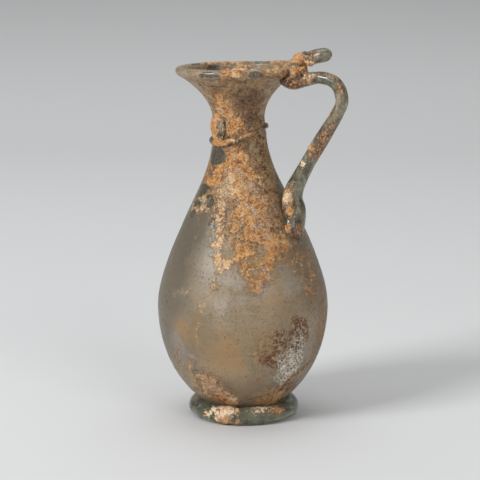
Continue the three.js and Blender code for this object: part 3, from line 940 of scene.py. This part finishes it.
def dress(mesh, crust_patches, pale_patches, stain_and_shade_patches, bare_patches, depth, lively=0.12):
    """Lays crust, cream and stain in balls of (x, y, z, across, tall) over applied glass, with its relief. On
    the thread the cream is a painted highlight and one stain is painted shade.
    """
    points = places(mesh)
    wander = grain(points, 6.0, 3, 5)
    wobble = grain(points, 2.2, 3, 6)
    shiver = grain(points, 0.9, 2, 7)
    drift = np.column_stack((wobble + shiver, shiver + wander, wander + wobble)) * 1.1

    def cover(balls, blur):
        best = np.full(len(points), -99.0)
        for x, y, z, across, tall in balls:
            dx, dy, dz = (points - (x, y, z) + drift).T
            inside = 1 - np.sqrt((dx ** 2 + dy ** 2) / across ** 2 + dz ** 2 / tall ** 2)
            best = np.maximum(best, inside * min(across, tall))
        return np.clip(0.5 + best / blur / 2, 0, 1)

    crust = np.minimum(cover(crust_patches, 1.4), 1 - cover(bare_patches, 0.8))
    keep(mesh, "crust", crust)
    keep(mesh, "cream", cover(pale_patches, 1.2))
    # stain, and on the thread a painted shade line
    keep(mesh, "stain", cover(stain_and_shade_patches, 2.0))
    crust = smooth(crust + shiver * 0.2, 0.4, 0.7)
    relief = crust * (0.6 + 0.4 * np.clip(shiver + wobble, -1, 1)) * depth + (wander * lively + wobble * 0.04)
    place(mesh, (points + normals(mesh) * relief[:, None]) * MM)


class EWER_OT_foot_ring(bpy.types.Operator):
    """Builds the coiled foot ring"""

    bl_idname = "ewer.foot_ring"
    bl_label = "Foot Ring"

    def execute(self, context):
        settings = context.scene.ewer_applied
        coil = Vector((FOOT_RADIUS - FOOT_HALF, FOOT_HALF))
        line = [
            Vector((FOOT_INNER, FOOT_HALF)),
            *(Vector((radius, 0.0)) for radius in FOOT_FLAT),
            *(coil + slope(a, FOOT_HALF) for a in np.linspace(-79, 90, 13)),
            Vector((FOOT_INNER, FOOT_HALF * 2)),
        ]
        bm = spun(line, 120)
        bmesh.ops.translate(bm, verts=bm.verts, vec=(AXIS_X + FOOT_OFFSET, 0, 0))
        mesh = applied(bm, settings.skin / MM * 1.15, sunk=0.3, smoothing=5)
        dress(mesh, FOOT_CRUST, FOOT_CREAM, FOOT_STAIN, (), settings.crust_depth / MM)
        points = places(mesh)
        points[:, 2] = np.maximum(points[:, 2], 0)
        place(mesh, points)
        material = applied_finish(
            "foot_glass_green", tuple(settings.foot_tint), (0.22, 0.245, 0.15), 0.95, 0.03,
            (0.5, 0.47, 0.37), 0.14,
        )
        finished("foot_ring_glass", mesh, "foot_ring", material)
        return {"FINISHED"}


def ring(bm, line, halves):
    """Adds a closed ring of round section along a line."""
    verts = [bm.verts.new(p) for p in line]
    sections = []
    count = len(line)
    for i, vert in enumerate(verts):
        along = (Vector(line[(i + 1) % count]) - Vector(line[i - 1])).normalized()
        out = Vector((along.y, -along.x, 0)).normalized()
        up = out.cross(along)
        turn = Matrix((out, up, along)).transposed().to_4x4()
        circle = bmesh.ops.create_circle(bm, cap_ends=False, segments=16, radius=halves[i])["verts"]
        bmesh.ops.transform(bm, matrix=Matrix.Translation(vert.co) @ turn, verts=circle)
        sections.append({edge for v in circle for edge in v.link_edges})
    bmesh.ops.delete(bm, geom=verts, context="VERTS")
    for here, there in zip(sections, sections[1:] + sections[:1]):
        bmesh.ops.bridge_loops(bm, edges=list(here | there))


class EWER_OT_neck_thread(bpy.types.Operator):
    """Builds the thread round the neck and the drop it was drawn from"""

    bl_idname = "ewer.neck_thread"
    bl_label = "Neck Thread"

    def execute(self, context):
        settings = context.scene.ewer_applied
        bm = bmesh.new()
        angles = np.linspace(0, math.tau, 97)[:-1]
        front = ((1 + np.cos(angles + math.pi / 2)) / 2) ** 4
        tilt = THREAD_TILT * np.cos(angles - THREAD_TILT_TOWARDS)
        heights = NECK.y - THREAD_BELOW + tilt - THREAD_DIP * front
        halves = THREAD_HALF + THREAD_HALF * front
        radii = wall_radius(heights) - THREAD_SINK + halves
        line = np.column_stack((radii * np.cos(angles), radii * np.sin(angles), heights))
        ring(bm, bent(line) / MM, halves)
        drop_height = np.interp(DROP_AT, np.degrees(angles) - 360, heights) + DROP_RISE
        turn = Matrix.Rotation(math.radians(DROP_AT), 3, "Z")
        drop = bmesh.ops.create_uvsphere(bm, u_segments=32, v_segments=20, radius=1)["verts"]
        bmesh.ops.scale(bm, verts=drop, vec=DROP_SIZE)
        bmesh.ops.translate(bm, verts=drop, vec=(wall_radius(drop_height), 0, 0))
        bmesh.ops.rotate(bm, verts=drop, cent=(0, 0, 0), matrix=turn)
        bmesh.ops.translate(bm, verts=drop, vec=(axis_at(drop_height), 0, drop_height))
        knob = Matrix.Translation(KNOB_AT)
        bmesh.ops.create_icosphere(bm, subdivisions=2, radius=KNOB_RADIUS, matrix=knob)
        bmesh.ops.recalc_face_normals(bm, faces=bm.faces)
        mesh = applied(bm, 0.26, sunk=0.3, smoothing=2)
        # The thread's pale lines are a painted highlight and its low dark line is painted shade
        dress(mesh, THREAD_CRUST, THREAD_PAINTED_HIGHLIGHT, THREAD_STAIN_AND_SHADE, THREAD_BARE, 0.3, 0.05)
        material = applied_finish(
            "thread_glass_tan", (0.26, 0.21, 0.13), (0.05, 0.045, 0.028), 0.3, 0.2, (0.5, 0.36, 0.22), 0.35
        )
        finished("neck_thread_glass", mesh, "neck_thread", material)
        return {"FINISHED"}


def on_shoulder(z, out, thick, wide, y=0.0):
    """A rod's stop over the shoulder, on the handle's side."""
    return (wall_radius(z) + axis_at(z) + out, y, z, thick, wide)


def by_rim(out, drop, thick, wide):
    """A rod's stop beside the rim, on the handle's side."""
    return (AXIS_X - NECK_LEAN + LIP.x + LIP_BEAD + out, 0.0, LIP.y - drop, thick, wide)


class EWER_OT_handle(bpy.types.Operator):
    """Builds the rod handle with its claw, arch and thumb rest"""

    bl_idname = "ewer.handle"
    bl_label = "Handle"

    def execute(self, context):
        settings = context.scene.ewer_applied
        bm = bmesh.new()
        claw = [on_shoulder(*stop) for stop in CLAW]
        arch = [by_rim(*stop) for stop in ARCH]
        (low_x, _, low_z, *_), (high_x, _, high_z, *_) = claw[-1], arch[0]
        straight = [
            (low_x + (high_x - low_x) * reach, 0.0, low_z + (high_z - low_z) * rise, 3.6, 3.8)
            for reach, rise in ((0.28, 0.325), (0.64, 0.6625))
        ]
        rod(bm, [*claw, *straight, *arch], 90)
        rod(bm, [by_rim(*stop) for stop in THUMB_REST], 40)
        for x, y, z, radius in HANDLE_LUMPS:
            at = Matrix.Translation((x, y, z))
            bmesh.ops.create_icosphere(bm, subdivisions=2, radius=radius, matrix=at)
        mesh = applied(bm, settings.skin / MM, sunk=0.35, smoothing=4)
        dress(mesh, HANDLE_CRUST, HANDLE_CREAM, HANDLE_STAIN, (), settings.crust_depth / MM)
        material = applied_finish(
            "handle_glass_green", tuple(settings.handle_tint), (0.075, 0.072, 0.046), 0.45, 0.11,
            (0.46, 0.33, 0.2), 0.65,
        )
        finished("handle_glass", mesh, "handle", material)
        return {"FINISHED"}


def aimed(thing, at, target):
    """Puts a lamp or the camera at a place and turns it towards another."""
    thing.location = at
    thing.rotation_euler = (target - at).to_track_quat("-Z", "Y").to_euler()


def sweep_finish(floor_colour):
    """Pale floor with painted shade that darkens the sweep where it rises."""
    f = Finish("pale_sweep")
    rise = f.node("ShaderNodeSeparateXYZ", None, {"Vector": f.coords}, "Z")
    # Painted shade: the sweep darkens to grey as it rises
    colour = f.mix(rise.step(-0.03, 0.22), floor_colour, (0.47, 0.478, 0.48))
    colour = f.mix(f.cloud(400.0, 2.0) * 0.05, colour, (0.68, 0.68, 0.68))
    return f.done(f.surface(colour, 0.85, f.cloud(2.0), 0.02))


class EWER_OT_stage(bpy.types.Operator):
    """Sets the floor, the soft light and the camera"""

    bl_idname = "ewer.stage"
    bl_label = "Stage"

    def execute(self, context):
        settings = context.scene.ewer_stage
        scene = context.scene
        bm = bmesh.new()
        turns = np.linspace(0, math.pi / 2, 25)
        bend = [(SWEEP_FAR + SWEEP_BEND * math.sin(a), SWEEP_BEND - SWEEP_BEND * math.cos(a)) for a in turns]
        profile = [(SWEEP_NEAR, 0), *bend, (SWEEP_FAR + SWEEP_BEND, SWEEP_TOP)]
        verts = [bm.verts.new((-SWEEP_HALF_WIDTH, y, z)) for y, z in profile]
        edges = [bm.edges.new(pair) for pair in zip(verts, verts[1:])]
        swept = bmesh.ops.extrude_edge_only(bm, edges=edges)["geom"]
        far_side = [item for item in swept if isinstance(item, bmesh.types.BMVert)]
        bmesh.ops.translate(bm, verts=far_side, vec=(SWEEP_HALF_WIDTH * 2, 0, 0))
        bmesh.ops.rotate(bm, verts=bm.verts, cent=(0, 0, 0), matrix=Matrix.Rotation(VIEW_TURN, 3, "Z"))
        bmesh.ops.recalc_face_normals(bm, faces=bm.faces)
        mesh = made("sweep", bm)
        surfaced(mesh, sweep_finish(tuple(settings.floor_colour)))
        sweep = shown("sweep", mesh)

        data = bpy.data.cameras.new("camera")
        data.lens = settings.lens
        data.sensor_width = 36
        data.clip_start = 0.05
        data.clip_end = 20
        scene.camera = shown("camera", data)
        aimed(scene.camera, CAMERA_AT, CAMERA_AIM)

        right = Vector((math.cos(VIEW_TURN), math.sin(VIEW_TURN), 0))
        away = Vector((-right.y, right.x, 0))
        for name, beside, beyond, above, size, power in LIGHTS:
            data = bpy.data.lights.new(name, "AREA")
            data.size = size
            data.energy = power
            at = right * beside + away * beyond + Vector((0, 0, above))
            aimed(shown(name, data), at, LIGHTS_AIM)
        world = bpy.data.worlds.new("soft_room")
        world.use_nodes = True
        background = world.node_tree.nodes["Background"]
        background.inputs["Color"].default_value = (0.98, 0.99, 1.0, 1.0)
        background.inputs["Strength"].default_value = 0.155
        scene.world = world
        scene.view_settings.view_transform = "Standard"
        return {"FINISHED"}


class EWER_PT_panel(bpy.types.Panel):
    """Lists the pieces of the ewer"""

    bl_label = "Glass Ewer"
    bl_idname = "EWER_PT_panel"
    bl_space_type = "VIEW_3D"
    bl_region_type = "UI"
    bl_category = "Ewer"

    def draw(self, context):
        for group in (context.scene.ewer_body, context.scene.ewer_applied, context.scene.ewer_stage):
            for name in group.__annotations__:
                self.layout.prop(group, name)
        for operator in OPERATORS:
            self.layout.operator(operator.bl_idname)


SETTINGS = {
    "ewer_body": EwerBodySettings,
    "ewer_applied": EwerAppliedSettings,
    "ewer_stage": EwerStageSettings,
}
OPERATORS = (EWER_OT_blown_body, EWER_OT_foot_ring, EWER_OT_neck_thread, EWER_OT_handle, EWER_OT_stage)


def register():
    for cls in (*SETTINGS.values(), *OPERATORS, EWER_PT_panel):
        bpy.utils.register_class(cls)
    for name, cls in SETTINGS.items():
        setattr(bpy.types.Scene, name, bpy.props.PointerProperty(type=cls))


def unregister():
    for name in SETTINGS:
        delattr(bpy.types.Scene, name)
    for cls in reversed((*SETTINGS.values(), *OPERATORS, EWER_PT_panel)):
        bpy.utils.unregister_class(cls)


def main():
    register()
    bpy.ops.ewer.blown_body()
    bpy.ops.ewer.foot_ring()
    bpy.ops.ewer.neck_thread()
    bpy.ops.ewer.handle()
    bpy.ops.ewer.stage()


if __name__ == "__main__":
    main()
